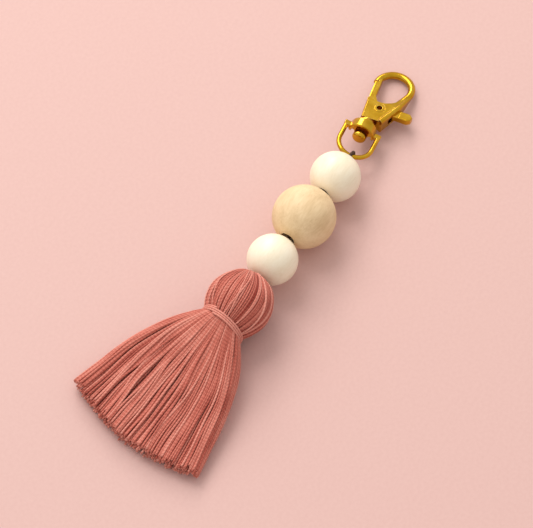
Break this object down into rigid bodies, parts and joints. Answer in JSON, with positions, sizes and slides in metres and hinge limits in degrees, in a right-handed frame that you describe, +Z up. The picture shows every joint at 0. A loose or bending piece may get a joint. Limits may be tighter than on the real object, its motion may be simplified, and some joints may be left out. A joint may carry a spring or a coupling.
{
  "type": "bead and tassel keychain",
  "caption": "Keychain charm: a swivel trigger clasp on a D-ring, a knotted cord through round wooden beads, and a thread tassel with a ball head, lying flat.",
  "frame": {"origin": "centre of the bounding box in X and Y, on the surface that the keychain lies on", "axes": "+X along the cord from the tassel to the clasp, +Z up off the surface, +Y to the left seen from the tassel"},
  "size_m": [0.1578, 0.0498, 0.0206],
  "materials": {
    "gold_metal": "polished gold plate",
    "spring_steel": "bright drawn wire",
    "cream_wood": "smooth, pale cream stain with a satin coat",
    "natural_wood": "raw sanded beige wood with fine grain",
    "core_wood": "raw",
    "cord_cotton": "waxed twisted cotton, dark brown",
    "tassel_thread": "soft twisted thread with a slight sheen, dusty rose"
  },
  "bodies": {
    "tassel_head": {"tassel_core": "core_wood", "head_threads": "tassel_thread", "neck_binding": "tassel_thread"},
    "skirt": {"tassel_skirt": "tassel_thread"},
    "cord_end": {"cord_end": "cord_cotton"},
    "cord_lower": {"cord_lower": "cord_cotton"},
    "bead_lower": {"bead_lower": "cream_wood"},
    "cord_middle": {"cord_middle": "cord_cotton"},
    "bead_middle": {"bead_middle": "natural_wood"},
    "cord_top": {"cord_top": "cord_cotton"},
    "bead_upper": {"bead_upper": "cream_wood"},
    "cord_loop": {"cord_loop": "cord_cotton"},
    "ring": {"swivel_ring": "gold_metal"},
    "hook": {"hook_body": "gold_metal", "swivel_post": "gold_metal", "lever_rivet": "gold_metal", "lever_spring": "spring_steel"},
    "lever": {"clasp_lever": "gold_metal"}
  },
  "joints": [
    {"name": "skirt_sway", "type": "hinge", "parent": "tassel_head", "child": "skirt", "pos_m": [-0.03287, -0.00482, 0.0097], "axis": [0, 0, 1], "range_deg": [-20, 20], "deforming": ["tassel_skirt"]},
    {"name": "tassel_spin", "type": "hinge", "parent": "tassel_head", "child": "cord_end", "pos_m": [-0.02387, -0.00542, 0.0103], "axis": [0.9997, 0, -0.0227], "continuous": true},
    {"name": "cord_bend_tassel", "type": "hinge", "parent": "cord_end", "child": "cord_lower", "pos_m": [-0.01312, -0.00542, 0.01006], "axis": [0, 0, 1], "range_deg": [-16, 16]},
    {"name": "bead_lower_spin", "type": "hinge", "parent": "cord_lower", "child": "bead_lower", "pos_m": [-0.00512, -0.00542, 0.0101], "axis": [1, 0, 0], "continuous": true},
    {"name": "cord_bend_lower", "type": "hinge", "parent": "cord_lower", "child": "cord_middle", "pos_m": [0.00298, -0.00542, 0.01006], "axis": [0, 0, 1], "range_deg": [-16, 16]},
    {"name": "bead_middle_spin", "type": "hinge", "parent": "cord_middle", "child": "bead_middle", "pos_m": [0.01308, -0.00542, 0.01], "axis": [0.9992, 0, -0.0399], "continuous": true},
    {"name": "cord_bend_upper", "type": "hinge", "parent": "cord_middle", "child": "cord_top", "pos_m": [0.02315, -0.00542, 0.00925], "axis": [0, 0, 1], "range_deg": [-16, 16]},
    {"name": "bead_upper_spin", "type": "hinge", "parent": "cord_top", "child": "bead_upper", "pos_m": [0.03123, -0.00542, 0.00865], "axis": [0.9966, 0, -0.0823], "continuous": true},
    {"name": "cord_bend_top", "type": "hinge", "parent": "cord_top", "child": "cord_loop", "pos_m": [0.03937, -0.00542, 0.00791], "axis": [0, 0, 1], "range_deg": [-14, 14]},
    {"name": "loop_tilt", "type": "hinge", "parent": "cord_loop", "child": "ring", "pos_m": [0.04073, -0.00542, 0.0078], "axis": [-0.2692, 0.9399, 0.2102], "range_deg": [-60, 60]},
    {"name": "ring_swivel", "type": "hinge", "parent": "ring", "child": "hook", "pos_m": [0.05152, -0.00277, 0.00597], "axis": [0.9695, 0.171, -0.1756], "continuous": true},
    {"name": "lever_open", "type": "hinge", "parent": "hook", "child": "lever", "pos_m": [0.06098, -0.00306, 0.00431], "axis": [-0.1729, -0.0305, -0.9845], "range_deg": [0, 26], "stiffness_Nm_per_rad": 0.02, "springref_deg": -20.05, "deforming": ["lever_spring"]}
  ]
}
